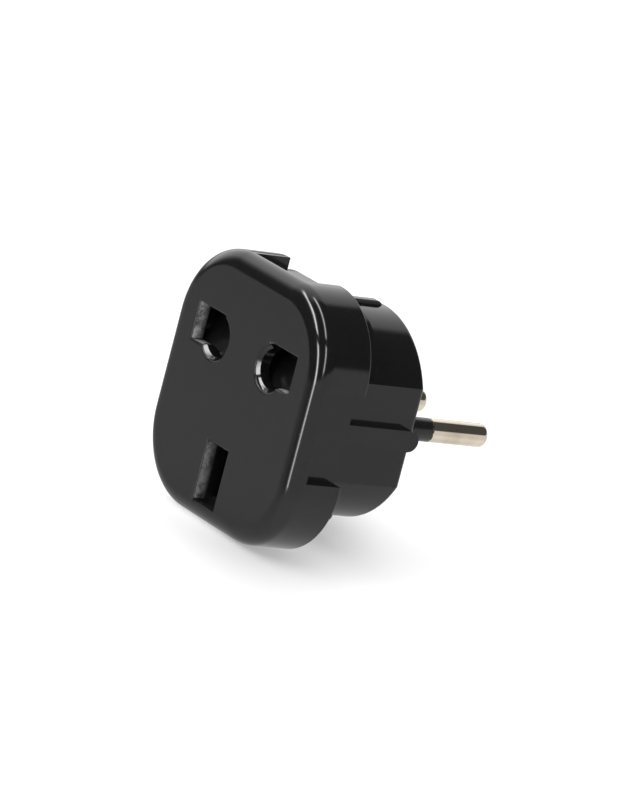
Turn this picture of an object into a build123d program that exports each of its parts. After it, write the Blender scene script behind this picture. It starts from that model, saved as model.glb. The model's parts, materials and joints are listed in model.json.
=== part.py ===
from build123d import *
import math
import os

# A plug adapter: a square socket plate on the front takes a plug with three flat pins,
# or one with two round pins. Two round pins at the rear go into the wall socket.
#
# Lengths are millimetres. While a piece is built, X runs to the right as the socket is
# faced, Y runs rearwards from the socket face, and Z runs up from the axis of the plug.
# At the end every piece is moved so that the origin is at the middle of the plate's foot.

# Socket plate
plate_width = 44.0
plate_height = 44.6
plate_depth = 10.4
plate_corner_radius = 13.8
front_edge_radius = 3.1
lobe_edge_radius = 0.4
front_wall = 2.4
recess_wall = 1.7
cavity_corner_radius = 6.0

# Finger recesses between the four corner lobes
rim_depth = 3.2
recess_half_width = 7.7
recess_depth = 2.45

# Socket holes
line_height = 8.18
line_offset = 11.1
slot_width = 8.2
slot_height = 6.45
round_offset = 8.4
round_height = 7.3
round_rim_radius = 4.0
round_radius = 3.3
rim_step_depth = 1.2
rim_draft = 11
earth_drop = 22.23
earth_slot_width = 6.45
earth_slot_height = 10.5
mouth_edge_radius = 0.3

# Shoulder between the plate and the round body
shoulder_depth = 13.1
shoulder_corner_radius = 11.0
shoulder_wall = 1.2
lip_width = 1.5

# Round body that goes into the wall socket
body_radius = 18.1
body_flat = 15.95
body_depth = 26.3
body_edge_radius = 1.0
body_wall = 1.2
rear_wall = 2.2

# Guide ribs on the round body
side_rib_reach = 17.95
side_rib_width = 3.6
side_rib_setback = 0.2
top_rib_width = 1.4
top_rib_reach = 18.8
top_rib_setback = 1.7
end_rib_radius = 1.1

# Space for the long earth pin of the plug, inside the lower rib
earth_pocket_width = 4.7
earth_pocket_height = 8.45
earth_pocket_depth = 23.2
earth_rib_wall = 0.95
earth_rib_end_wall = 0.7
earth_rib_reach = 18.95
relief_inset = 0.4
relief_corner_radius = 0.8

# Round pins
pin_spacing = 18.6
pin_diameter = 4.0
pin_projection = 19.0
pin_tip_radius = 0.9
pin_core_diameter = 3.0
sleeve_projection = 7.45
sleeve_flange_diameter = 4.6
sleeve_flange_inset = 0.1
sleeve_clearance = 0.02
pin_bore_clearance = 0.05
collar_diameter = 6.0
collar_thickness = 1.2
collar_clearance = 0.1
pin_shank_diameter = 3.6
pin_tail_diameter = 2.9
pin_head_diameter = 4.4
pin_head_thickness = 0.6
pin_boss_wall = 1.1
pin_boss_length = 2.5

# Contacts
strap_thickness = 0.8
strap_width = 5.0
strap_setback = 5.2
strap_top = 11.0
strap_bottom = -4.6
strap_corner_radius = 0.6
jaw_thickness = 0.5
jaw_width = 4.6
jaw_mouth = 10.2
jaw_pinch = 12.6
jaw_pinch_gap = 3.4
jaw_root_gap = 4.6
jaw_mouth_gap = 5.2
rivet_diameter = 1.6
rivet_head_diameter = 2.8
rivet_head_thickness = 0.4
rivet_clearance = 0.03
washer_diameter = 6.0
washer_thickness = 0.4
washer_clearance = 0.05

# Shutter, its guides and its spring
shutter_gap = 0.2
shutter_side_gap = 0.3
shutter_back_gap = 0.1
shutter_stop_gap = 0.1
shutter_depth = 8.3
shutter_lip = 0.6
shutter_inner_edge = 3.7
shutter_top = 11.8
shutter_bottom = 2.7
shutter_ramp_foot = 4.2
shutter_travel = 6.9
bridge_top = 5.3
bridge_front = 4.2
stop_height = 1.3
stop_near = 6.0
stop_far = 13.6
tunnel_wall = 1.1
spring_depth = 6.3
spring_outer_diameter = 3.0
spring_wire = 0.35
spring_turns = 8
spring_seat_gap = 0.05
spring_pocket_diameter = 3.5
spring_pocket_depth = 1.5
spigot_diameter = 1.6
spigot_height = 1.8

# Plate behind the shutter
guard_thickness = 1.2
guard_gap = 0.1
guard_edge_gap = 0.1
guard_window_near = 6.6
guard_window_far = 14.8
guard_window_half_height = 2.6
guard_post_width = 3.0
guard_post_height = 1.9
guard_post_gap = 0.1

# Screws that hold the two housings together
screw_places = [(0.0, 13.2), (-8.2, -10.6), (8.2, -10.6)]
screw_diameter = 2.6
screw_tip = 4.6
screw_tip_gap = 0.6
screw_tip_taper = 0.6
screw_head_diameter = 4.6
screw_head_height = 1.6
screw_head_edge_radius = 0.5
screw_recess_depth = 2.1
screw_slot_width = 0.8
screw_slot_depth = 0.8
screw_clearance = 0.05
boss_radius = 2.4
tube_radius = 2.3
tube_bore_gap = 0.2
head_recess_gap = 0.25
head_boss_wall = 0.7
head_seat_thickness = 1.7

# How far a cutter runs past the face that it opens
past = 1.0

# Values worked out from the sizes above
overall_length = body_depth + pin_projection
side_floor = plate_width / 2 - recess_depth
end_floor = plate_height / 2 - recess_depth
cavity_half_width = side_floor - recess_wall
cavity_half_height = end_floor - recess_wall
earth_height = line_height - earth_drop
earth_slot_top = earth_height + earth_slot_height / 2
earth_slot_bottom = earth_height - earth_slot_height / 2
earth_pocket_top = earth_height + earth_pocket_height / 2
earth_pocket_bottom = earth_height - earth_pocket_height / 2
inner_radius = body_radius - body_wall
inner_flat = body_flat - body_wall
rear_wall_face = body_depth - rear_wall
screw_seat = body_depth - screw_recess_depth
strap_front = rear_wall_face - strap_setback
shoulder_floor = shoulder_depth - shoulder_wall
root = front_wall / 2
shutter_front = front_wall + shutter_gap
guard_front = shutter_depth + shutter_back_gap
guard_rear = guard_front + guard_thickness
spring_seat = earth_slot_top + tunnel_wall
pin_offset = pin_spacing / 2
jaw_base_front = strap_front - jaw_thickness
sides = {"live": -1, "neutral": 1}


def block(x_range, y_range, z_range):
    # A box between two limits on each axis, which may come in either order
    size = [abs(limits[1] - limits[0]) for limits in (x_range, y_range, z_range)]
    middle = [(limits[1] + limits[0]) / 2 for limits in (x_range, y_range, z_range)]
    return Pos(*middle) * Box(*size)


def slab(outline, front, rear):
    # An outline drawn in X and Z, made solid from one depth to another
    face_plane = Plane(origin=(0, front, 0), x_dir=(1, 0, 0), z_dir=(0, -1, 0))
    return extrude(face_plane * outline, amount=rear - front, dir=(0, 1, 0))


def rod(x, z, diameter, front, rear):
    # A round bar along Y
    return Pos(x, (front + rear) / 2, z) * Rot(-90, 0, 0) * Cylinder(diameter / 2, rear - front)


def side_profile(points, x_range):
    # A closed outline of (depth, height) points, made solid across a range of X
    outline = Polyline([(x_range[0], depth, height) for depth, height in points], close=True)
    return extrude(make_face(outline), amount=x_range[1] - x_range[0], dir=(1, 0, 0))


def rounded_plate(half_width, half_height, radius, front, rear):
    return slab(RectangleRounded(2 * half_width, 2 * half_height, radius), front, rear)


def rounded_mouth(cut):
    # A cutter whose mouth in the socket face is rounded outwards
    plate = block((-plate_width, plate_width), (0, front_wall), (-plate_height, plate_height))
    pierced = plate - cut
    mouth = pierced.faces().sort_by(Axis.Y)[0].inner_wires()[0].edges()
    return cut + (plate - fillet(mouth, mouth_edge_radius))


def socket_hole(side):
    # A flat slot joined to a round hole with a wider step at its mouth, for both kinds of plug
    slot_low = line_height - slot_height / 2
    slot_high = line_height + slot_height / 2
    slot_near = side * (line_offset - slot_width / 2)
    slot_far = side * (line_offset + slot_width / 2)
    slot = block((slot_near, slot_far), (-past, front_wall + past), (slot_low, slot_high))
    x = side * round_offset
    hole = rod(x, round_height, 2 * round_radius, -past, front_wall + past)
    step_foot_radius = round_rim_radius - rim_step_depth * math.tan(math.radians(rim_draft))
    step = Cone(round_rim_radius, step_foot_radius, rim_step_depth)
    step = Pos(x, rim_step_depth / 2, round_height) * Rot(-90, 0, 0) * step
    return rounded_mouth(slot) + rounded_mouth(step) + hole


def front_shell():
    outline = RectangleRounded(plate_width, plate_height, plate_corner_radius)
    shell = slab(outline, 0, plate_depth)
    shell = fillet(shell.faces().sort_by(Axis.Y)[0].edges(), front_edge_radius)

    # Finger recesses on all four sides, open to the rear
    span = (-recess_half_width, recess_half_width)
    for side in (-1, 1):
        depth_range = (rim_depth, plate_depth + past)
        shell -= block((side * side_floor, side * (plate_width / 2 + past)), depth_range, span)
        shell -= block(span, depth_range, (side * end_floor, side * (plate_height / 2 + past)))

    # Round the edges of the lobes, but not the floors of the recesses, which the shoulder meets
    def on_recess_floor(edge):
        centre = edge.center()
        return abs(abs(centre.X) - side_floor) < 0.01 or abs(abs(centre.Z) - end_floor) < 0.01

    rear_edges = shell.faces().sort_by(Axis.Y)[-1].edges()
    shell = fillet([edge for edge in rear_edges if not on_recess_floor(edge)], lobe_edge_radius)

    shell -= rounded_plate(cavity_half_width, cavity_half_height, cavity_corner_radius,
                           front_wall, plate_depth + past)

    # Bosses that the screws bite into
    for x, z in screw_places:
        shell += rod(x, z, 2 * boss_radius, root, shutter_depth)

    # Walls round the earth slot, with a spigot for the shutter's spring on top
    tunnel_half = earth_slot_width / 2 + tunnel_wall
    shell += block((-tunnel_half, tunnel_half), (root, shutter_depth),
                   (-cavity_half_height - recess_wall / 2, spring_seat))
    spigot_middle = spring_seat + spigot_height / 2 - tunnel_wall / 2
    shell += Pos(0, spring_depth, spigot_middle) * Cylinder(spigot_diameter / 2, spigot_height + tunnel_wall)

    # Stops above and below the two pads of the shutter
    upper_stop = shutter_top + shutter_stop_gap
    lower_stop = shutter_bottom - shutter_travel - shutter_stop_gap - stop_height
    for side in (-1, 1):
        for stop in (upper_stop, lower_stop):
            shell += block((side * stop_near, side * stop_far), (root, shutter_depth),
                           (stop, stop + stop_height))

    for x, z in screw_places:
        shell -= rod(x, z, screw_diameter + 2 * screw_clearance, screw_tip - screw_tip_gap, plate_depth)
    for side in (-1, 1):
        shell -= socket_hole(side)
    across = (-earth_slot_width / 2, earth_slot_width / 2)
    shell -= rounded_mouth(block(across, (-past, front_wall + past), (earth_slot_bottom, earth_slot_top)))
    return shell - block(across, (front_wall, shutter_depth + past), (-cavity_half_height, earth_slot_top))


def body_outline(radius, flat):
    # A circle with a flat on the left and on the right
    return Circle(radius) & Rectangle(2 * flat, 3 * radius)


def side_rib(side):
    # A rib with a half-round rear end, standing on one of the flats
    half = side_rib_width / 2
    reach = side * side_rib_reach
    bar_end = body_depth - side_rib_setback - half
    bar = block((side * (inner_flat + body_wall / 2), reach), (plate_depth, bar_end), (-half, half))
    end_length = side_rib_reach - inner_flat - body_wall / 2
    end_middle = side * (side_rib_reach - end_length / 2)
    end = Pos(end_middle, bar_end, 0) * Rot(0, 90, 0) * Cylinder(half, end_length)
    return bar + end


def end_rib(side, half, reach, rear):
    # A low rib above or below the round body, rounded off at the rear
    rib = block((-half, half), (plate_depth, rear), (0, side * reach))
    corner = [edge for edge in rib.edges()
              if abs(edge.center().Y - rear) < 0.01 and abs(edge.center().Z - side * reach) < 0.01]
    rib = fillet(corner, end_rib_radius)
    return rib & block((-half, half), (plate_depth, rear), (side * inner_radius, side * reach))


def shoulder():
    # Fills the back of the plate, with its left and right sides sloping in to the round body
    piece = rounded_plate(side_floor, end_floor, shoulder_corner_radius, plate_depth, shoulder_depth)
    for side in (-1, 1):
        corners = [
            (side * side_floor, plate_depth, -plate_height / 2),
            (side * body_flat, shoulder_depth, -plate_height / 2),
            (side * plate_width / 2, shoulder_depth, -plate_height / 2),
            (side * plate_width / 2, plate_depth, -plate_height / 2),
        ]
        piece -= extrude(make_face(Polyline(corners, close=True)), amount=plate_height, dir=(0, 0, 1))
    return piece


def rear_housing():
    housing = shoulder()
    barrel = slab(body_outline(body_radius, body_flat), plate_depth, body_depth)
    barrel = fillet(barrel.faces().sort_by(Axis.Y)[-1].edges(), body_edge_radius)
    housing += barrel
    earth_rib_half = earth_pocket_width / 2 + earth_rib_wall
    housing += end_rib(1, top_rib_width / 2, top_rib_reach, body_depth - top_rib_setback)
    housing += end_rib(-1, earth_rib_half, earth_rib_reach, earth_pocket_depth + earth_rib_end_wall)

    # Hollow out the shoulder and the round body
    inner_corner_radius = shoulder_corner_radius - shoulder_wall
    housing -= rounded_plate(inner_flat, cavity_half_height, inner_corner_radius,
                             plate_depth - past, shoulder_floor)
    housing -= slab(body_outline(inner_radius, inner_flat), plate_depth, rear_wall_face)
    for side in (-1, 1):
        rib = side_rib(side)
        housing += rib - block((-inner_flat, inner_flat), (0, body_depth),
                               (-side_rib_width, side_rib_width))

    # A lip that enters the plate's cavity and presses on the guard plate
    lip = rounded_plate(cavity_half_width - guard_edge_gap, cavity_half_height - guard_edge_gap,
                        cavity_corner_radius - guard_edge_gap, guard_rear + guard_gap, plate_depth + past)
    lip -= rounded_plate(cavity_half_width - lip_width, cavity_half_height - lip_width, inner_corner_radius,
                         guard_rear, shoulder_floor)
    housing += lip

    # Tubes for the screws, wider where the heads sit
    for x, z in screw_places:
        head_radius = screw_head_diameter / 2 + head_recess_gap + head_boss_wall
        wall_middle = rear_wall_face + rear_wall / 2
        housing += rod(x, z, 2 * tube_radius, guard_rear + guard_gap, wall_middle)
        housing += rod(x, z, 2 * head_radius, screw_seat - head_seat_thickness, wall_middle)

    # Bosses round the collars of the pins
    collar_bore = collar_diameter + 2 * collar_clearance
    for side in (-1, 1):
        x = side * pin_offset
        housing += rod(x, 0, collar_bore + 2 * pin_boss_wall, rear_wall_face - pin_boss_length,
                       rear_wall_face + rear_wall / 2)
        housing -= rod(x, 0, collar_bore, rear_wall_face - pin_boss_length - past, rear_wall_face)
        housing -= rod(x, 0, sleeve_flange_diameter + 2 * pin_bore_clearance, rear_wall_face - past,
                       body_depth + past)

    # Relief for the corners of the flat pins, and the pocket of the earth pin
    relief_half_height = guard_window_half_height - relief_inset
    for side in (-1, 1):
        relief = rounded_plate(guard_window_far - relief_inset, relief_half_height, relief_corner_radius,
                               plate_depth - past, strap_front)
        relief = Pos(0, 0, line_height) * relief
        housing -= relief & block((0, side * plate_width), (0, body_depth), (0, plate_height))
    pocket_half = earth_pocket_width / 2
    housing -= block((-pocket_half, pocket_half), (guard_rear, earth_pocket_depth),
                     (earth_pocket_bottom, earth_pocket_top))

    for x, z in screw_places:
        bore = screw_diameter + 2 * tube_bore_gap
        housing -= rod(x, z, bore, guard_rear - past, body_depth + past)
        housing -= rod(x, z, screw_head_diameter + 2 * head_recess_gap, screw_seat, body_depth + past)
    return housing


def shutter():
    # Two ramps joined by a bridge. Pins that press on both ramps push the shutter down.
    half = cavity_half_width - shutter_side_gap
    ramp = [
        (shutter_depth, shutter_bottom),
        (shutter_depth, shutter_top),
        (shutter_depth - shutter_lip, shutter_top),
        (shutter_front, shutter_ramp_foot),
        (shutter_front, shutter_bottom),
    ]
    piece = side_profile(ramp, (-half, -shutter_inner_edge))
    piece += side_profile(ramp, (shutter_inner_edge, half))
    bridge_half = shutter_inner_edge + past
    piece += block((-bridge_half, bridge_half), (bridge_front, shutter_depth), (shutter_bottom, bridge_top))
    pocket = Cylinder(spring_pocket_diameter / 2, 2 * spring_pocket_depth)
    return piece - Pos(0, spring_depth, shutter_bottom) * pocket


def shutter_spring():
    # A compression spring that stands on the spigot and lifts the shutter
    low = spring_seat + spring_wire / 2 + spring_seat_gap
    high = shutter_bottom + spring_pocket_depth - spring_wire / 2 - spring_seat_gap
    coil_radius = (spring_outer_diameter - spring_wire) / 2
    pitch = (high - low) / spring_turns
    print("spring gap between turns", round(pitch - spring_wire, 3))
    path = Pos(0, spring_depth, low) * Helix(pitch, high - low, coil_radius)
    section = Plane(origin=path @ 0, z_dir=path % 0) * Circle(spring_wire / 2)
    return sweep(section, path=path)


def guard_plate():
    # Closes the shutter's chamber, and its two posts hold the contact straps back
    plate = rounded_plate(cavity_half_width - guard_edge_gap, cavity_half_height - guard_edge_gap,
                          cavity_corner_radius - guard_edge_gap, guard_front, guard_rear)
    low = line_height - guard_window_half_height
    high = line_height + guard_window_half_height
    for side in (-1, 1):
        plate -= block((side * guard_window_near, side * guard_window_far),
                       (guard_front - past, guard_rear + past), (low, high))
        x = side * pin_offset
        plate += block((x - guard_post_width / 2, x + guard_post_width / 2),
                       (guard_front, strap_front - guard_post_gap),
                       (strap_bottom, strap_bottom + guard_post_height))
    pocket_half = earth_pocket_width / 2
    plate -= block((-pocket_half, pocket_half), (guard_front - past, guard_rear + past),
                   (-plate_height / 2, earth_pocket_top))
    for x, z in screw_places:
        plate -= rod(x, z, screw_diameter + 2 * tube_bore_gap, guard_front - past, guard_rear + past)
    return plate


def round_pin(side):
    # Solid pin: bare end, thinner core under the sleeve, collar, and a tail headed over the strap
    x = side * pin_offset
    sleeve_rear = body_depth + sleeve_projection
    collar_front = rear_wall_face - collar_thickness
    washer_rear = strap_front + strap_thickness + washer_thickness
    bare = rod(x, 0, pin_diameter, sleeve_rear, overall_length)
    bare = fillet(bare.edges().group_by(Axis.Y)[-1], pin_tip_radius)
    pin = bare + rod(x, 0, pin_core_diameter, rear_wall_face, sleeve_rear)
    pin += rod(x, 0, collar_diameter, collar_front, rear_wall_face)
    pin += rod(x, 0, pin_shank_diameter, washer_rear, collar_front)
    pin += rod(x, 0, pin_tail_diameter, strap_front, washer_rear)
    pin += rod(x, 0, pin_head_diameter, strap_front - pin_head_thickness, strap_front)
    return pin


def pin_sleeve(side):
    # Insulating sleeve on the part of the pin next to the body, with a flange held in the rear wall
    x = side * pin_offset
    rear = body_depth + sleeve_projection
    tube = rod(x, 0, pin_diameter, rear_wall_face, rear)
    tube += rod(x, 0, sleeve_flange_diameter, rear_wall_face, body_depth - sleeve_flange_inset)
    return tube - rod(x, 0, pin_core_diameter + 2 * sleeve_clearance, rear_wall_face - past, rear + past)


def contact_strap(side):
    # Brass strip from the pin's tail up to the socket jaws
    x = side * pin_offset
    strap = block((x - strap_width / 2, x + strap_width / 2), (strap_front, strap_front + strap_thickness),
                  (strap_bottom, strap_top))
    corners = strap.edges().filter_by(Axis.Y)
    strap = fillet(corners, strap_corner_radius)
    hole = pin_tail_diameter + 2 * washer_clearance
    strap -= rod(x, 0, hole, strap_front - past, strap_front + strap_thickness + past)
    return strap - rod(x, line_height, rivet_diameter + 2 * rivet_clearance, strap_front - past,
                       strap_front + strap_thickness + past)


def socket_jaw(side):
    # Two sprung leaves on one base, which grip a flat or a round pin from above and below
    x = side * pin_offset
    across = (x - jaw_width / 2, x + jaw_width / 2)
    base_half = jaw_root_gap / 2 + jaw_thickness
    jaw = block(across, (jaw_base_front, strap_front), (line_height - base_half, line_height + base_half))
    for up in (-1, 1):
        inner = [
            (strap_front, line_height + up * jaw_root_gap / 2),
            (jaw_pinch, line_height + up * jaw_pinch_gap / 2),
            (jaw_mouth, line_height + up * jaw_mouth_gap / 2),
        ]
        outer = [(depth, height + up * jaw_thickness) for depth, height in reversed(inner)]
        jaw += side_profile(inner + outer, across)
    hole = rivet_diameter + 2 * rivet_clearance
    return jaw - rod(x, line_height, hole, jaw_base_front - past, strap_front + past)


def jaw_rivet(side):
    x = side * pin_offset
    strap_rear = strap_front + strap_thickness
    rivet = rod(x, line_height, rivet_diameter, jaw_base_front, strap_rear)
    rivet += rod(x, line_height, rivet_head_diameter, jaw_base_front - rivet_head_thickness, jaw_base_front)
    return rivet + rod(x, line_height, rivet_head_diameter, strap_rear, strap_rear + rivet_head_thickness)


def pin_washer(side):
    x = side * pin_offset
    front = strap_front + strap_thickness
    rear = front + washer_thickness
    washer = rod(x, 0, washer_diameter, front, rear)
    return washer - rod(x, 0, pin_tail_diameter + 2 * washer_clearance, front - past, rear + past)


def housing_screws():
    # Slotted screws from the rear into the bosses of the front shell
    screws = []
    for x, z in screw_places:
        screw = rod(x, z, screw_diameter, screw_tip, screw_seat)
        screw = chamfer(screw.edges().group_by(Axis.Y)[0], screw_tip_taper)
        head = rod(x, z, screw_head_diameter, screw_seat, screw_seat + screw_head_height)
        head = fillet(head.edges().group_by(Axis.Y)[-1], screw_head_edge_radius)
        head -= block((x - screw_head_diameter, x + screw_head_diameter),
                      (screw_seat + screw_head_height - screw_slot_depth, body_depth),
                      (z - screw_slot_width / 2, z + screw_slot_width / 2))
        screws.append((screw + head).solid())
    return Compound(children=screws)


pieces = {
    "front_shell": front_shell(),
    "rear_housing": rear_housing(),
    "shutter": shutter(),
    "shutter_spring": shutter_spring(),
    "guard_plate": guard_plate(),
    "housing_screws": housing_screws(),
}
for name, side in sides.items():
    pieces[name + "_pin"] = round_pin(side)
    pieces[name + "_pin_sleeve"] = pin_sleeve(side)
    pieces[name + "_pin_washer"] = pin_washer(side)
    pieces[name + "_contact_strap"] = contact_strap(side)
    pieces[name + "_socket_jaw"] = socket_jaw(side)
    pieces[name + "_jaw_rivet"] = jaw_rivet(side)

os.makedirs("parts", exist_ok=True)
to_frame = Pos(0, -overall_length / 2, plate_height / 2)
for name, piece in pieces.items():
    export_step(to_frame * piece, "parts/" + name + ".step")
    print("written", name)
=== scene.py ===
import json
import math

import bmesh
import bpy
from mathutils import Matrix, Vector


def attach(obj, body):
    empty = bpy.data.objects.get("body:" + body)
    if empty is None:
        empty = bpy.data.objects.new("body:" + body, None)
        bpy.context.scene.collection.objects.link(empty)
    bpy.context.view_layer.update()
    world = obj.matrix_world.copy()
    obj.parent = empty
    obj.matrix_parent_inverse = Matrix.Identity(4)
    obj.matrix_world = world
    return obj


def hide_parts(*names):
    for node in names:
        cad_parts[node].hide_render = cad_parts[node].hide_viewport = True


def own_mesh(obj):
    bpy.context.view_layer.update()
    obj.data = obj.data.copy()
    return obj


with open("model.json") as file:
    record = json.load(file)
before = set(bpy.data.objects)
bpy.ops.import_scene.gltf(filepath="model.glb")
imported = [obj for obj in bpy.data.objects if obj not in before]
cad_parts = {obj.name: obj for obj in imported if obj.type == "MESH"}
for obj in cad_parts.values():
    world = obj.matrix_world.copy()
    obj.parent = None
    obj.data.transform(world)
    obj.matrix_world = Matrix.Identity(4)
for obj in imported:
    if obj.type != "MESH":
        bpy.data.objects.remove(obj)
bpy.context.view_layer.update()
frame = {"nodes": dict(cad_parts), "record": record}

scene = bpy.context.scene
scene.view_settings.view_transform = "Standard"


# Node maths, for shader trees and geometry trees. A socket is wrapped, so that
# 1 - mask * 0.5 adds the Math nodes it needs.

class Wire:
    def __init__(self, tree, socket):
        self.tree = tree
        self.socket = socket

    def math(self, operation, first, second):
        node = self.tree.nodes.new("ShaderNodeMath")
        node.operation = operation
        for place, value in enumerate((first, second)):
            feed(self.tree, node.inputs[place], value)
        return Wire(self.tree, node.outputs[0])

    def __add__(self, other):
        return self.math("ADD", self, other)

    def __radd__(self, other):
        return self.math("ADD", other, self)

    def __sub__(self, other):
        return self.math("SUBTRACT", self, other)

    def __rsub__(self, other):
        return self.math("SUBTRACT", other, self)

    def __mul__(self, other):
        return self.math("MULTIPLY", self, other)

    def __rmul__(self, other):
        return self.math("MULTIPLY", other, self)

    def __truediv__(self, other):
        return self.math("DIVIDE", self, other)

    def __pow__(self, other):
        return self.math("POWER", self, other)


def feed(tree, socket, value):
    if isinstance(value, list):
        for wire in value:
            tree.links.new(wire.socket, socket)
    elif isinstance(value, Wire):
        tree.links.new(value.socket, socket)
    else:
        socket.default_value = value


class Tree:
    # One tree, and one way to add any node: type, settings first, then its sockets
    def __init__(self, tree):
        self.tree = tree
        tree.nodes.clear()

    def node(self, kind, settings=None, inputs=None, output=0):
        made = self.tree.nodes.new(kind)
        for name, value in (settings or {}).items():
            setattr(made, name, value)
        for name, value in (inputs or {}).items():
            feed(self.tree, made.inputs[name], value)
        return Wire(self.tree, made.outputs[output]) if made.outputs else None

    def calc(self, operation, value):
        # A Math node that takes one value
        return self.node("ShaderNodeMath", {"operation": operation}, {0: value})

    def bell(self, value):
        # 1 where the value is 0, and falling away softly on both sides
        return self.calc("EXPONENT", value * value * -1.0)

    def parts(self, vector):
        # The x, y and z of a vector
        split = self.tree.nodes.new("ShaderNodeSeparateXYZ")
        feed(self.tree, split.inputs["Vector"], vector)
        return [Wire(self.tree, socket) for socket in split.outputs]

    def vector(self, x, y, z):
        return self.node("ShaderNodeCombineXYZ", {}, {"X": x, "Y": y, "Z": z})

    def dot(self, vector, fixed):
        return self.node("ShaderNodeVectorMath", {"operation": "DOT_PRODUCT"}, {0: vector, 1: fixed}, "Value")

    def attribute(self, name, kind="FLOAT"):
        return self.node("GeometryNodeInputNamedAttribute", {"data_type": kind}, {"Name": name})

    def ease(self, value, low, high):
        # 0 below low and 1 above high, with a soft way between. Low may be the larger one
        span = {"Value": value, "From Min": min(low, high), "From Max": max(low, high)}
        eased = self.node("ShaderNodeMapRange", {"interpolation_type": "SMOOTHSTEP"}, span)
        return eased if low < high else 1 - eased

    def noise(self, where, scale, detail, rough):
        inputs = {"Vector": where, "Scale": scale, "Detail": detail, "Roughness": rough}
        return self.node("ShaderNodeTexNoise", {}, inputs)

    def tint(self, factor, first, second):
        # The colour sockets of a Mix node go by number, as their names come up twice
        return self.node("ShaderNodeMix", {"data_type": "RGBA"}, {0: factor, 6: first, 7: second}, 2)


def newMaterial(name):
    material = bpy.data.materials.new(name)
    material.use_nodes = True
    return material, Tree(material.node_tree)


def finishMaterial(shader, relief, settings):
    normal = shader.node("ShaderNodeBump", {}, {"Height": relief, "Strength": 1.0, "Distance": 1.0})
    surface = shader.node("ShaderNodeBsdfPrincipled", {}, dict(settings, Normal=normal))
    shader.node("ShaderNodeOutputMaterial", {}, {"Surface": surface})


# Moulded plastic, lengths in metres. A noise is its repeats per metre, its detail and its
# roughness. A range is where a mark starts and where it is full.

glossBlack = {
    "colour": (0.0042, 0.0042, 0.0046, 1),
    "paler": (0.0062, 0.0062, 0.0068, 1),
    "dust": (0.075, 0.075, 0.078, 1),
    "ior": 1.5,
    "roughness": 0.085,
    "smear": 0.05,
    "smearNoise": (90.0, 3.0, 0.55),
    "peelNoise": (420.0, 2.0, 0.45),
    "peelHeight": 0.0000016,
    "scratchTurn": (0.5, 0.9, 0.3),
    "scratchStretch": (1.0, 14.0, 1.0),
    "scratchNoise": (900.0, 4.0, 0.7),
    "scratchRange": (0.66, 0.78),
    "scratchRoughness": 0.10,
    "scratchDepth": 0.0000006,
    "speckScale": 330.0,
    "speckRange": (0.045, 0.018),
    "speckRoughness": 0.35,
    "speckHeight": 0.00002,
    "dustyNoise": (210.0, 1.0, 0.5),
    "dustyRange": (0.60, 0.68),
}
mattBlack = dict(glossBlack, roughness=0.34, smear=0.12, peelHeight=0.000005,
                 colour=(0.008, 0.008, 0.0085, 1), paler=(0.013, 0.013, 0.014, 1))
sleeveBlack = dict(glossBlack, roughness=0.2, smear=0.08,
                   colour=(0.006, 0.006, 0.006, 1), paler=(0.01, 0.01, 0.01, 1))
shutterBlack = dict(glossBlack, roughness=0.16)

# The flat walls of the slots keep the rough skin that the mould left there, and
# the round mouths are polished. The walls' pale, mottled tone is partly the rough skin's
# own grey and partly painted light from the lamps. Each slot has its distances from the
# middle line, its heights, and the share of the roughness and of the pale tone that it
# gets: the earth slot's smaller share is painted shade. The bottom wall is smoother: it
# has its thickness and the share of the roughness and the pale tone that it keeps.
# Depths are along y.
holeWalls = {
    "slots": [((-0.001, 0.0036), (0.0027, 0.0138), 0.55), ((0.0050, 0.0156), (0.0266, 0.0342), 1.0)],
    "bottoms": (0.00065, 0.08),
    "depths": (-0.02236, -0.02020),
    "rearFade": (-0.0200, -0.0208),
    "roundPlace": (0.0084, 0.0296),
    "roundRadius": 0.00415,
    "soft": 0.00010,
    "grain": (0.030, 0.031, 0.032, 1),
    "paintedLitPale": (0.50, 0.485, 0.485, 1),
    "inside": 0.3,
    "grainNoise": (2300.0, 4.0, 0.75),
    "patchNoise": (506.0, 2.0, 0.5),
    "grainShare": 0.6,
    "patchShare": 0.5,
    "paleRange": (0.40, 0.68),
    "roughness": 0.62,
    "relief": 0.00006,
}


def holeWallMask(shader, across, depth, height):
    soft = holeWalls["soft"]
    front = holeWalls["depths"][0]
    aboveBottom, bottomShare = holeWalls["bottoms"]
    mask = 0.0
    for (near, far), (low, high), share in holeWalls["slots"]:
        slot = share * shader.ease(across, far + soft, far) * shader.ease(across, near - soft, near)
        bottom = shader.ease(height, low + aboveBottom, low + aboveBottom + soft)
        slot = slot * (bottomShare + (1 - bottomShare) * bottom)
        mask = slot * shader.ease(height, low - soft, low) * shader.ease(height, high + soft, high) + mask
    fromMiddle = across - holeWalls["roundPlace"][0]
    above = height - holeWalls["roundPlace"][1]
    away = (fromMiddle * fromMiddle + above * above) ** 0.5
    mask = mask * shader.ease(away, holeWalls["roundRadius"] - soft, holeWalls["roundRadius"] + soft)
    return mask * shader.ease(depth, front - soft, front) * shader.ease(depth, *holeWalls["rearFade"])


def roughenWallsAndPaintLight(shader, where, shade, roughness, relief):
    # The pale tone is partly painted light, and it gets darker with the depth as painted
    # shade, as little light reaches in there
    side, depth, height = shader.parts(where)
    rough = holeWallMask(shader, shader.calc("ABSOLUTE", side), depth, height)
    grain = shader.noise(where, *holeWalls["grainNoise"])
    patches = shader.noise(where, *holeWalls["patchNoise"])
    mottled = grain * holeWalls["grainShare"] + patches * holeWalls["patchShare"]
    lit = shader.tint(shader.ease(mottled, *holeWalls["paleRange"]), holeWalls["grain"], holeWalls["paintedLitPale"])
    unlit = shader.tint(holeWalls["inside"], (0, 0, 0, 1), lit)
    lit = shader.tint(shader.ease(depth, *holeWalls["depths"]), lit, unlit)
    shade = shader.tint(rough, shade, lit)
    roughness = roughness + rough * (holeWalls["roughness"] - roughness)
    return shade, roughness, relief + rough * grain * holeWalls["relief"]


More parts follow.
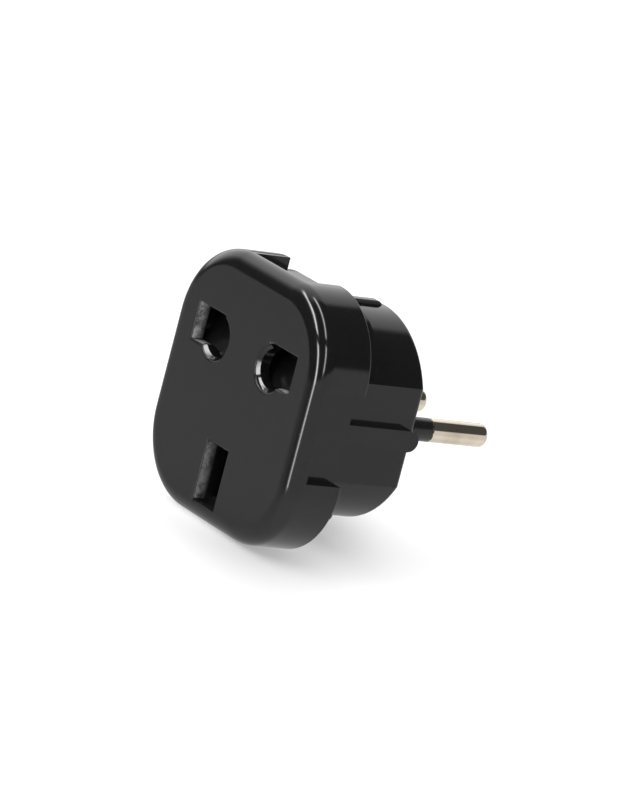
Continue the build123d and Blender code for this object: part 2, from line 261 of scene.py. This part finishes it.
def plasticMaterial(name, look, holes=False):
    material, shader = newMaterial(name)
    where = shader.node("ShaderNodeTexCoord", {}, {}, "Object")
    smear = shader.noise(where, *look["smearNoise"])
    peel = shader.noise(where, *look["peelNoise"])
    stretched = shader.node("ShaderNodeMapping", {}, {
        "Vector": where, "Rotation": look["scratchTurn"], "Scale": look["scratchStretch"]})
    scratch = shader.ease(shader.noise(stretched, *look["scratchNoise"]), *look["scratchRange"])
    cells = shader.node("ShaderNodeTexVoronoi", {}, {
        "Vector": where, "Scale": look["speckScale"], "Randomness": 1.0}, "Distance")
    dusty = shader.ease(shader.noise(where, *look["dustyNoise"]), *look["dustyRange"])
    speck = shader.ease(cells, *look["speckRange"]) * dusty
    shade = shader.tint(smear, look["colour"], look["paler"])
    shade = shader.tint(speck, shade, look["dust"])
    roughness = look["roughness"] + look["smear"] * smear
    roughness = roughness + look["scratchRoughness"] * scratch + look["speckRoughness"] * speck
    relief = peel * look["peelHeight"] + speck * look["speckHeight"] - scratch * look["scratchDepth"]
    if holes:
        shade, roughness, relief = roughenWallsAndPaintLight(shader, where, shade, roughness, relief)
    finishMaterial(shader, relief, {"Base Color": shade, "Roughness": roughness, "IOR": look["ior"]})
    return material


# Metals, with fine turning or rolling marks, smears of tarnish and a few nicks

nickel = {
    "colour": (0.80, 0.72, 0.60, 1),
    "dull": (0.68, 0.58, 0.45, 1),
    "roughness": 0.07,
    "marksNoise": (2600.0, 3.0, 0.6),
    "marksRoughness": 0.04,
    "marksHeight": 0.0000012,
    "tarnishNoise": (160.0, 4.0, 0.6),
    "tarnishRange": (0.45, 0.8),
    "tarnishRoughness": 0.07,
    "nickNoise": (1900.0, 2.0, 0.5),
    "nickRange": (0.70, 0.76),
    "nickRoughness": 0.1,
    "nickDepth": 0.000002,
}
brass = dict(nickel, colour=(0.80, 0.60, 0.30, 1), dull=(0.55, 0.38, 0.17, 1), roughness=0.24)
zinc = dict(nickel, colour=(0.56, 0.56, 0.55, 1), dull=(0.40, 0.40, 0.39, 1), roughness=0.3)
springWire = dict(nickel, colour=(0.45, 0.45, 0.46, 1), dull=(0.32, 0.32, 0.33, 1), roughness=0.25)
marksAlong = {"x": (0.05, 1.0, 1.0), "y": (1.0, 0.05, 1.0), "rings": (0.02, 1.0, 0.02)}


def metalMaterial(name, look, along):
    material, shader = newMaterial(name)
    where = shader.node("ShaderNodeTexCoord", {}, {}, "Object")
    stretched = shader.node("ShaderNodeMapping", {}, {"Vector": where, "Scale": marksAlong[along]})
    marks = shader.noise(stretched, *look["marksNoise"])
    tarnish = shader.ease(shader.noise(where, *look["tarnishNoise"]), *look["tarnishRange"])
    nicks = shader.ease(shader.noise(where, *look["nickNoise"]), *look["nickRange"])
    shade = shader.tint(tarnish, look["colour"], look["dull"])
    roughness = look["roughness"] + look["marksRoughness"] * marks
    roughness = roughness + look["tarnishRoughness"] * tarnish + look["nickRoughness"] * nicks
    relief = marks * look["marksHeight"] - nicks * look["nickDepth"]
    finishMaterial(shader, relief, {"Base Color": shade, "Roughness": roughness, "Metallic": 1.0})
    return material


materials = {
    "shell_plastic": plasticMaterial("shellPlastic", glossBlack, True),
    "body_plastic": plasticMaterial("bodyPlastic", glossBlack),
    "guard_plastic": plasticMaterial("guardPlastic", mattBlack),
    "shutter_plastic": plasticMaterial("shutterPlastic", shutterBlack),
    "sleeve_plastic": plasticMaterial("sleevePlastic", sleeveBlack),
    "pin_nickel": metalMaterial("pinNickel", nickel, "rings"),
    "strap_brass": metalMaterial("strapBrass", brass, "x"),
    "jaw_brass": metalMaterial("jawBrass", brass, "y"),
    "rivet_brass": metalMaterial("rivetBrass", brass, "rings"),
    "washer_steel": metalMaterial("washerSteel", zinc, "rings"),
    "screw_steel": metalMaterial("screwSteel", zinc, "rings"),
    "spring_steel": metalMaterial("springSteel", springWire, "x"),
}
print("materials made:", len(materials))


# Where things are in the frame: the socket face along y, the plug's axis along z, and
# the body and the material of each CAD node

faceDepth = -0.02265
axisHeight = 0.0223
mm = 0.001
bodyOfNode = {}
for bodyName, nodeNames in frame["record"]["behaviour"]["bodies"].items():
    for nodeName in nodeNames:
        bodyOfNode[nodeName] = bodyName
slotOfNode = {part["node"]: part["material_slot"] for part in frame["record"]["subparts"]}

# Handing a piece over, after the same cleaning and smooth shading for each

dressing = {
    "mergeDistance": 0.000002,
    "flatAngle": math.radians(0.3),
    "sharpAngle": math.radians(28),
    "normalWeight": 100,
}


def tidyMesh(mesh, flatten):
    work = bmesh.new()
    work.from_mesh(mesh)
    bmesh.ops.remove_doubles(work, verts=work.verts, dist=dressing["mergeDistance"])
    if flatten:
        flatAngle = dressing["flatAngle"]
        bmesh.ops.dissolve_limit(work, angle_limit=flatAngle, verts=work.verts, edges=work.edges)
    bmesh.ops.recalc_face_normals(work, faces=work.faces)
    for edge in work.edges:
        if len(edge.link_faces) == 2:
            edge.smooth = edge.calc_face_angle() < dressing["sharpAngle"]
    for face in work.faces:
        face.smooth = True
    work.to_mesh(mesh)
    work.free()


def bake(piece):
    # The mesh that the modifiers give, with no modifier left
    made = bpy.data.meshes.new_from_object(piece.evaluated_get(bpy.context.evaluated_depsgraph_get()))
    piece.modifiers.clear()
    piece.data = made
    return made


def newPiece(nodeName, mesh):
    piece = bpy.data.objects.new(nodeName + ".look", mesh)
    scene.collection.objects.link(piece)
    return piece


def hand(piece, nodeName):
    # Hand the piece over as the look of a CAD node
    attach(piece, bodyOfNode[nodeName])
    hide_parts(nodeName)


# The step round each round hole is shown as a shallow cone from its lip. Each pair is
# the distance from the hole's axis and the depth, in metres.

mouthCone = {
    "lip": (0.00395, 0.00024),
    "foot": (0.003767, 0.0012),
    "shown": (0.00337, 0.00065),
    "deeperBelow": 0.00022,
    "near": 0.00003,
}


def coneMouths(mesh):
    lip, lipDepth = mouthCone["lip"]
    foot, footDepth = mouthCone["foot"]
    shown, shownDepth = mouthCone["shown"]
    middle, height = holeWalls["roundPlace"]
    near = mouthCone["near"]
    moved = 0
    for vertex in mesh.vertices:
        x, y, z = vertex.co
        axis = math.copysign(middle, x)
        away = math.hypot(x - axis, z - height)
        depth = y - faceDepth
        if foot - near < away < lip + near and lipDepth + near < depth < footDepth + near:
            share = (depth - lipDepth) / (footDepth - lipDepth)
            scale = (lip + (shown - lip) * share) / away
            sideways = abs(x - axis) / away
            drop = shownDepth - lipDepth + mouthCone["deeperBelow"] * (1 - sideways)
            shownY = faceDepth + lipDepth + drop * share
            vertex.co = (axis + (x - axis) * scale, shownY, height + (z - height) * scale)
            moved += 1
    print("points of the round mouths moved:", moved)


def dress(nodeName):
    mesh = frame["nodes"][nodeName].data.copy()
    if nodeName == "front_shell":
        coneMouths(mesh)
    tidyMesh(mesh, True)
    piece = newPiece(nodeName, mesh)
    smoothing = piece.modifiers.new("smoothing", "WEIGHTED_NORMAL")
    smoothing.mode = "FACE_AREA"
    smoothing.weight = dressing["normalWeight"]
    smoothing.keep_sharp = True
    smoothed = bake(piece)
    smoothed.materials.clear()
    smoothed.materials.append(materials[slotOfNode[nodeName]])
    hand(piece, nodeName)


# Pieces grown by geometry trees. Lengths in their dictionaries are millimetres, with the
# depth measured from the socket face and the height from the axis of the plug.

def newGrowth(name, wanted):
    # A modifier tree with named inputs, and the wires from them
    tree = bpy.data.node_groups.new(name, "GeometryNodeTree")
    growth = Tree(tree)
    tree.interface.new_socket("Geometry", in_out="INPUT", socket_type="NodeSocketGeometry")
    tree.interface.new_socket("Geometry", in_out="OUTPUT", socket_type="NodeSocketGeometry")
    for label, kind in wanted.items():
        tree.interface.new_socket(label, in_out="INPUT", socket_type="NodeSocket" + kind)
    given = tree.nodes.new("NodeGroupInput")
    wires = {label: Wire(tree, given.outputs[label]) for label in ["Geometry", *wanted]}
    return growth, wires


def endGrowth(growth, geometry, material):
    real = growth.node("GeometryNodeRealizeInstances", {}, {"Geometry": geometry})
    painted = growth.node("GeometryNodeSetMaterial", {}, {"Geometry": real, "Material": material})
    growth.node("NodeGroupOutput", {}, {"Geometry": painted})


def startMesh(name, points, linked, attributes):
    # Points for a tree to start from, the first of them linked into a path
    mesh = bpy.data.meshes.new(name)
    mesh.from_pydata(points, [(place, place + 1) for place in range(linked - 1)], [])
    for label, (kind, values) in attributes.items():
        mesh.attributes.new(label, kind, "POINT").data.foreach_set("value", values)
    return mesh


def grow(nodeName, growth, values, start=None):
    # Runs a tree on a start mesh, and hands the result over as the look of a CAD node
    piece = newPiece(nodeName, start or bpy.data.meshes.new(nodeName + ".start"))
    modifier = piece.modifiers.new("growth", "NODES")
    modifier.node_group = growth.tree
    values["Material"] = materials[slotOfNode[nodeName]]
    for item in growth.tree.interface.items_tree:
        if item.in_out == "INPUT" and item.name in values:
            modifier[item.identifier] = values[item.name]
    tidyMesh(bake(piece), False)
    hand(piece, nodeName)
    return piece


def sweep(growth, path, ring, scale=1.0, caps=True):
    return growth.node("GeometryNodeCurveToMesh", {}, {
        "Curve": path, "Profile Curve": ring, "Scale": scale, "Fill Caps": caps})


def circle(growth, sides, radius):
    return growth.node("GeometryNodeCurvePrimitiveCircle", {}, {"Resolution": sides, "Radius": radius})


def pathOf(growth, places, steps):
    # A path with this many steps, put at places that follow from the share of the way
    line = growth.node("GeometryNodeCurvePrimitiveLine")
    stepped = growth.node("GeometryNodeResampleCurve", {}, {"Curve": line, "Count": steps})
    return growth.node("GeometryNodeSetPosition", {}, {"Geometry": stepped, "Position": places})


# Turned pieces: a ring for each (depth, radius) point of a profile, round an axis along
# y. The rings stand in a row first and then move to their depths, so that the profile
# of a hollow piece can come back along its bore.

turnedInputs = {"Sides": "Int", "Solid": "Bool", "Place": "Vector", "Material": "Material"}
turnedTree, wires = newGrowth("turnedPiece", turnedInputs)
path = turnedTree.node("GeometryNodeMeshToCurve", {}, {"Mesh": wires["Geometry"]})
ring = circle(turnedTree, wires["Sides"], 1.0)
swept = sweep(turnedTree, path, ring, turnedTree.attribute("turnedRadius"), wires["Solid"])
x, _, z = turnedTree.parts(turnedTree.node("GeometryNodeInputPosition"))
where = turnedTree.vector(x, turnedTree.attribute("turnedDepth"), z)
moved = turnedTree.node("GeometryNodeSetPosition", {}, {"Geometry": swept, "Position": where})
placed = turnedTree.node("GeometryNodeTransform", {}, {"Geometry": moved, "Translation": wires["Place"]})
endGrowth(turnedTree, placed, wires["Material"])


def turned(nodeName, x, height, profile, sides):
    row = [(0, place * mm, 0) for place in range(len(profile))]
    start = startMesh(nodeName + ".profile", row, len(row), {
        "turnedRadius": ("FLOAT", [radius * mm for depth, radius in profile]),
        "turnedDepth": ("FLOAT", [faceDepth + depth * mm for depth, radius in profile])})
    place = (x * mm, 0, axisHeight + height * mm)
    grow(nodeName, turnedTree, {"Sides": sides, "Solid": profile[0] != profile[-1], "Place": place}, start)


def rounding(depth, radius, size, steps):
    # Points of a quarter circle from a cylinder of this radius to the flat at this depth
    points = []
    for step in range(steps + 1):
        turn = math.pi / 2 * step / steps
        points.append((depth + size * (math.sin(turn) - 1), radius - size * (1 - math.cos(turn))))
    return points


pinLook = {
    "offset": 9.3,
    "profile": [(18.3, 2.15), (18.9, 2.2), (18.9, 1.45), (20.1, 1.45), (20.1, 1.8), (22.9, 1.8), (22.9, 2.9),
                (23.0, 3.0), (24.1, 3.0), (24.1, 1.5), (33.75, 1.5), (33.76, 1.9), (33.85, 2.0)],
    "radius": 2.0,
    "tip": 45.3,
    "tipRounding": 0.9,
    "tipSteps": 12,
    "sides": 96,
}
sleeveLook = {
    "profile": [(24.1, 1.52), (24.1, 2.25), (24.15, 2.3), (26.15, 2.3), (26.2, 2.25), (26.2, 2.0)],
    "bore": [(33.75, 1.52), (24.1, 1.52)],
    "radius": 2.0,
    "rear": 33.75,
    "rearRounding": 0.14,
    "rearSteps": 4,
    "sides": 96,
}
washerLook = {
    "profile": [(19.7, 1.5), (19.7, 2.96), (19.74, 3.0), (20.06, 3.0), (20.1, 2.96), (20.1, 1.5),
                (19.7, 1.5)],
    "sides": 64,
}
rivetLook = {
    "profile": [(18.0, 1.1), (18.06, 1.3), (18.2, 1.4), (18.4, 1.4), (18.4, 0.8), (19.7, 0.8), (19.7, 1.4),
                (19.9, 1.4), (20.04, 1.3), (20.1, 1.1)],
    "height": 8.18,
    "sides": 48,
}
tip = rounding(pinLook["tip"], pinLook["radius"], pinLook["tipRounding"], pinLook["tipSteps"])
end = rounding(sleeveLook["rear"], sleeveLook["radius"], sleeveLook["rearRounding"],
               sleeveLook["rearSteps"])
sides = {"live": -1, "neutral": 1}
for name, side in sides.items():
    x = side * pinLook["offset"]
    turned(name + "_pin", x, 0, pinLook["profile"] + tip, pinLook["sides"])
    turned(name + "_pin_sleeve", x, 0, sleeveLook["profile"] + end + sleeveLook["bore"], sleeveLook["sides"])
    turned(name + "_pin_washer", x, 0, washerLook["profile"], washerLook["sides"])
    turned(name + "_jaw_rivet", x, rivetLook["height"], rivetLook["profile"], rivetLook["sides"])
print("turned pieces grown")


# The spring: a coil whose turns close up towards both ends. Travel is how far the
# shutter squeezes it.

springLook = {
    "turns": 8.0,
    "low": -7.475,
    "high": 3.975,
    "depth": 6.3,
    "coilRadius": 1.325,
    "wireRadius": 0.172,
    "wireSides": 14,
    "closing": 0.7,
    "steps": 384,
    "travel": 6.9,
}
springInputs = {"Turns": "Float", "Low": "Float", "High": "Float", "Coil Radius": "Float",
                "Wire Radius": "Float", "Closing": "Float", "Depth": "Float", "Steps": "Int",
                "Material": "Material"}
springTree, wires = newGrowth("coil", springInputs)
share = springTree.node("GeometryNodeSplineParameter")
turn = share * wires["Turns"] * (2 * math.pi)
bend = springTree.calc("SINE", share * (2 * math.pi))
climb = share - wires["Closing"] * bend / (2 * math.pi)
where = springTree.vector(springTree.calc("COSINE", turn) * wires["Coil Radius"],
                          springTree.calc("SINE", turn) * wires["Coil Radius"] + wires["Depth"],
                          wires["Low"] + (wires["High"] - wires["Low"]) * climb)
coil = pathOf(springTree, where, wires["Steps"])
wire = circle(springTree, springLook["wireSides"], wires["Wire Radius"])
endGrowth(springTree, sweep(springTree, coil, wire), wires["Material"])
springHigh = axisHeight + springLook["high"] * mm
spring = grow("shutter_spring", springTree, {
    "Turns": springLook["turns"], "Low": axisHeight + springLook["low"] * mm, "High": springHigh,
    "Coil Radius": springLook["coilRadius"] * mm, "Wire Radius": springLook["wireRadius"] * mm,
    "Closing": springLook["closing"], "Depth": faceDepth + springLook["depth"] * mm,
    "Steps": springLook["steps"]})
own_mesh(spring)
print("spring grown")


# The screws: one slotted head and one thread, set at the three places. Each point of the
# outline is a hair further on, so that no two fall together.

screwLook = {
    "places": [(0.0, 13.2), (-8.2, -10.6), (8.2, -10.6)],
    "turns": [14.0, -37.0, 63.0],
    "profile": [(4.6, 0.7), (5.2, 1.02), (5.4, 1.06), (22.4, 1.06), (22.9, 1.28), (24.2, 1.28), (24.2, 2.3),
                (25.3, 2.3)],
    "sides": 72,
    "headRadius": 2.3,
    "headRounding": 0.5,
    "headSteps": 6,
    "headTop": 25.8,
    "hair": 0.0004,
    "slotLength": 8.0,
    "slotWidth": 0.8,
    "slotDepth": 0.8,
    "threadStart": 5.3,
    "threadEnd": 16.4,
    "pitch": 1.0,
    "crest": 1.28,
    "ridgeRadius": 0.16,
    "ridgeSides": 6,
    "threadSteps": 420,
}
screwInputs = {"Slot Width": "Float", "Slot Depth": "Float", "Head Top": "Float", "Thread Start": "Float",
               "Thread Length": "Float", "Thread Turns": "Float", "Crest": "Float", "Material": "Material"}
screwTree, wires = newGrowth("slottedScrew", screwInputs)
parted = screwTree.tree.nodes.new("GeometryNodeSeparateGeometry")
feed(screwTree.tree, parted.inputs["Geometry"], wires["Geometry"])
feed(screwTree.tree, parted.inputs["Selection"], screwTree.attribute("isPlace", "BOOLEAN"))
spots = Wire(screwTree.tree, parted.outputs["Selection"])
profile = Wire(screwTree.tree, parted.outputs["Inverted"])
path = screwTree.node("GeometryNodeMeshToCurve", {}, {"Mesh": profile})
ring = circle(screwTree, screwLook["sides"], 1.0)
blank = sweep(screwTree, path, ring, screwTree.attribute("turnedRadius"))
slotSize = screwTree.vector(screwLook["slotLength"] * mm, wires["Slot Depth"] * 2, wires["Slot Width"])
cutter = screwTree.node("GeometryNodeMeshCube", {}, {"Size": slotSize})
slotPlace = screwTree.vector(0.0, wires["Head Top"], 0.0)
cutter = screwTree.node("GeometryNodeTransform", {}, {"Geometry": cutter, "Translation": slotPlace})
slotted = screwTree.node("GeometryNodeMeshBoolean", {"operation": "DIFFERENCE", "solver": "EXACT"},
                         {"Mesh 1": blank, "Mesh 2": cutter})
share = screwTree.node("GeometryNodeSplineParameter")
turn = share * wires["Thread Turns"] * (2 * math.pi)
threadRadius = wires["Crest"] - screwLook["ridgeRadius"] * mm
where = screwTree.vector(screwTree.calc("COSINE", turn) * threadRadius,
                         wires["Thread Start"] + wires["Thread Length"] * share,
                         screwTree.calc("SINE", turn) * threadRadius)
helix = pathOf(screwTree, where, screwLook["threadSteps"])
ridge = circle(screwTree, screwLook["ridgeSides"], screwLook["ridgeRadius"] * mm)
thread = sweep(screwTree, helix, ridge)
screw = screwTree.node("GeometryNodeJoinGeometry", {}, {"Geometry": [slotted, thread]})
facing = screwTree.vector(0.0, screwTree.attribute("twist"), 0.0)
threeScrews = screwTree.node("GeometryNodeInstanceOnPoints", {}, {
    "Points": spots, "Instance": screw, "Rotation": facing})
endGrowth(screwTree, threeScrews, wires["Material"])

head = rounding(screwLook["headTop"], screwLook["headRadius"], screwLook["headRounding"],
                screwLook["headSteps"])
outline = screwLook["profile"] + head[1:]
points = [(0, faceDepth + depth * mm + place * screwLook["hair"] * mm, 0)
          for place, (depth, radius) in enumerate(outline)]
points += [(x * mm, 0, axisHeight + height * mm) for x, height in screwLook["places"]]
count = len(outline)
spares = len(screwLook["places"])
screwStart = startMesh("screws.start", points, count, {
    "turnedRadius": ("FLOAT", [radius * mm for depth, radius in outline] + [0.0] * spares),
    "isPlace": ("BOOLEAN", [False] * count + [True] * spares),
    "twist": ("FLOAT", [0.0] * count + [math.radians(turn) for turn in screwLook["turns"]])})
threadLength = screwLook["threadEnd"] - screwLook["threadStart"]
grow("housing_screws", screwTree, {
    "Slot Width": screwLook["slotWidth"] * mm, "Slot Depth": screwLook["slotDepth"] * mm,
    "Head Top": faceDepth + screwLook["headTop"] * mm,
    "Thread Start": faceDepth + screwLook["threadStart"] * mm, "Thread Length": threadLength * mm,
    "Thread Turns": threadLength / screwLook["pitch"], "Crest": screwLook["crest"] * mm}, screwStart)
print("screws grown")

grownNodes = ["housing_screws", "shutter_spring"]
for name in sides:
    grownNodes += [name + "_pin", name + "_pin_sleeve", name + "_pin_washer", name + "_jaw_rivet"]
for nodeName in sorted(bodyOfNode):
    if nodeName not in grownNodes:
        dress(nodeName)
print("pieces dressed:", len(bodyOfNode) - len(grownNodes))


# Floor, camera and light. A painted shade on the floor has its strength, place, width,
# length and turn; a negative strength paints light that lifts the real contact shadow.
# The painted shade right under the object, seen in the gloss, has its place, width,
# strength and level.

studio = {
    "floorWidth": 1.2,
    "floorColour": (0.86, 0.86, 0.86, 1),
    "seenPaper": (0.45, 0.45, 0.45, 1),
    "floorLift": 0.60,
    "paintedFloorShades": [(0.532, -0.0056, -0.0034, 0.0141, 0.0475, 0.938),
                   (-0.6, -0.0040, -0.0112, 0.0095, 0.0182, -1.565)],
    "paintedUnderShade": (0.002, 0.002, 0.028, 0.62, 0.16),
    "white": (1, 1, 1, 1),
    "camera": (0.780407, -0.579840, 0.232394),
    "cameraTurn": (77.407798, -14.455908, 56.803767),
    "lens": 270.0,
    "sensor": 36.0,
    "clipStart": 0.05,
    "shift": -0.001,
    "keyPlace": (-0.30, 0.22, 0.75),
    "keySize": 1.4,
    "keyPower": 2.4,
}

floorMesh = bpy.data.meshes.new("floor")
half = studio["floorWidth"] / 2
corners = [(-half, -half, 0), (half, -half, 0), (half, half, 0), (-half, half, 0)]
floorMesh.from_pydata(corners, [], [(0, 1, 2, 3)])
floor = bpy.data.objects.new("floor", floorMesh)
scene.collection.objects.link(floor)
floorMaterial, shader = newMaterial("floorPaper")
seen = shader.node("ShaderNodeLightPath", {}, {}, "Is Camera Ray")
glossy = shader.node("ShaderNodeLightPath", {}, {}, "Is Glossy Ray")
placeX, placeY, _ = shader.parts(shader.node("ShaderNodeTexCoord", {}, {}, "Object"))


def spot(x, y, width, length, turn):
    # A soft oval on the floor, 1 in its middle
    awayX = placeX - x
    awayY = placeY - y
    over = (awayX * math.cos(turn) + awayY * math.sin(turn)) / width
    up = (awayY * math.cos(turn) - awayX * math.sin(turn)) / length
    return shader.calc("EXPONENT", (over * over + up * up) * -1.0)


# The camera sees the object's own shadow on darker paper, lifted to white by a glow in
# which the shades and the light patch are painted. Other rays see pale paper.
lift = studio["floorLift"]
for strength, *oval in studio["paintedFloorShades"]:
    lift = lift - strength * spot(*oval)
paper = shader.node("ShaderNodeBsdfDiffuse", {}, {"Color": studio["floorColour"]})
seenPaper = shader.node("ShaderNodeBsdfDiffuse", {}, {"Color": studio["seenPaper"]})
glow = shader.node("ShaderNodeEmission", {}, {"Color": studio["white"], "Strength": lift})
lifted = shader.node("ShaderNodeAddShader", {}, {0: seenPaper, 1: glow})
both = shader.node("ShaderNodeMixShader", {}, {0: seen, 1: paper, 2: lifted})
# The gloss sees through the floor, but for a painted shade right under the object, a
# dim glow where the table lies in shadow
shadeX, shadeY, shadeWidth, shadeStrength, shadeLevel = studio["paintedUnderShade"]
under = spot(shadeX, shadeY, shadeWidth, shadeWidth, 0.0) * shadeStrength
clear = shader.node("ShaderNodeBsdfTransparent")
paintedShadeGlow = shader.node("ShaderNodeEmission", {}, {"Color": studio["white"], "Strength": shadeLevel})
mirrored = shader.node("ShaderNodeMixShader", {}, {0: under, 1: clear, 2: paintedShadeGlow})
mixed = shader.node("ShaderNodeMixShader", {}, {0: glossy, 1: both, 2: mirrored})
shader.node("ShaderNodeOutputMaterial", {}, {"Surface": mixed})
floorMesh.materials.append(floorMaterial)

cameraData = bpy.data.cameras.new("camera")
camera = bpy.data.objects.new("camera", cameraData)
camera.location = studio["camera"]
camera.rotation_euler = [math.radians(turn) for turn in studio["cameraTurn"]]
cameraData.lens = studio["lens"]
cameraData.sensor_width = studio["sensor"]
cameraData.clip_start = studio["clipStart"]
cameraData.shift_x = studio["shift"]
scene.collection.objects.link(camera)
scene.camera = camera

keyData = bpy.data.lights.new("key", "AREA")
keyData.size = studio["keySize"]
keyData.energy = studio["keyPower"]
key = bpy.data.objects.new("key", keyData)
key.location = studio["keyPlace"]
key.rotation_euler = (Vector((0, 0, 0)) - Vector(studio["keyPlace"])).to_track_quat("-Z", "Y").to_euler()
key.visible_glossy = False
scene.collection.objects.link(key)

# The room that the gloss shows: a pale table up to its edge, a dark room above it,
# a pale screen at the back left, and two tall light strips at the front. Each range is
# where a thing starts and where it is full, by the way that a ray goes. A strip has its
# normal, its offset, its width and its power. A bar across a strip has its height, and
# where its edge starts and ends. Beside the first strip the table is darker.
room = {
    "tableNormal": (-0.0835, -0.2001, 0.9763),
    "tableEdge": (0.07, -0.03),
    "tableNear": 0.48,
    "tableFar": 0.66,
    "nearWay": (-0.81, -0.58, 0.0),
    "nearRange": (0.0, 0.85),
    "below": 1.3,
    "belowRange": (-0.26, -0.62),
    "dark": 0.07,
    "ambient": 0.75,
    "screen": 1.25,
    "screenAcross": (-0.20, -0.34),
    "screenAlong": (-0.52, -0.12),
    "screenRise": (0.06, 0.16),
    "screenLevel": 0.3,
    "screenSlope": 0.9,
    "firstStrip": ((-0.694, -0.695, -0.187), 0.453, 0.06, 18.0),
    "firstAcross": (-0.68, -0.5),
    "firstFoot": (-0.33, -0.14),
    "firstTop": (0.82, 0.77),
    "firstBar": (0.443, 0.055, 0.085),
    "besidePlace": 0.72,
    "besideWidth": 0.13,
    "besideStrength": 0.7,
    "besideRange": (-0.38, -0.22),
    "secondStrip": ((-0.268, -0.945, 0.190), 0.285, 0.05, 11.0),
    "secondAcross": (-0.42, -0.25),
    "secondRise": (0.02, 0.2),
    "secondBar": (0.68, 0.05, 0.085),
}

world = bpy.data.worlds.new("room")
world.use_nodes = True
scene.world = world
shader = Tree(world.node_tree)
way = shader.node("ShaderNodeTexCoord", {}, {}, "Generated")
across = shader.dot(way, (1.0, 0.0, 0.0))
along = shader.dot(way, (0.0, 1.0, 0.0))
height = shader.dot(way, (0.0, 0.0, 1.0))
rise = shader.dot(way, room["tableNormal"])


def strip(settings):
    normal, offset, width, power = settings
    return power * shader.bell((shader.dot(way, normal) - offset) / width)


def clearOfBar(place, inner, outer):
    return shader.ease(shader.calc("ABSOLUTE", height - place), inner, outer)


near = shader.ease(shader.dot(way, room["nearWay"]), *room["nearRange"])
table = room["tableFar"] + (room["tableNear"] - room["tableFar"]) * near
table = table * shader.ease(rise, *room["tableEdge"])
table = table * (1 + (room["below"] - 1) * shader.ease(height, *room["belowRange"]))
beside = shader.bell((shader.dot(way, room["firstStrip"][0]) - room["besidePlace"]) / room["besideWidth"])
beside = room["besideStrength"] * beside * shader.ease(height, *room["besideRange"])
table = table * (1 - beside)

screen = shader.ease(across, *room["screenAcross"]) * shader.ease(along, *room["screenAlong"])
screen = screen * shader.ease(rise, *room["screenRise"])
screen = room["screen"] * screen * (room["screenLevel"] - across * room["screenSlope"])

first = strip(room["firstStrip"]) * shader.ease(across, *room["firstAcross"])
first = first * shader.ease(height, *room["firstFoot"]) * shader.ease(height, *room["firstTop"])
first = first * clearOfBar(*room["firstBar"])
second = strip(room["secondStrip"]) * shader.ease(across, *room["secondAcross"])
second = second * shader.ease(rise, *room["secondRise"]) * clearOfBar(*room["secondBar"])

# The camera sees white behind the floor, and diffuse rays an even light
level = room["dark"] + table + screen + first + second
seen = shader.node("ShaderNodeLightPath", {}, {}, "Is Camera Ray")
diffuse = shader.node("ShaderNodeLightPath", {}, {}, "Is Diffuse Ray")
level = level * (1 - seen) * (1 - diffuse) + seen + diffuse * room["ambient"]
background = shader.node("ShaderNodeBackground", {}, {"Color": studio["white"], "Strength": level})
shader.node("ShaderNodeOutputWorld", {}, {"Surface": background})
print("studio ready")
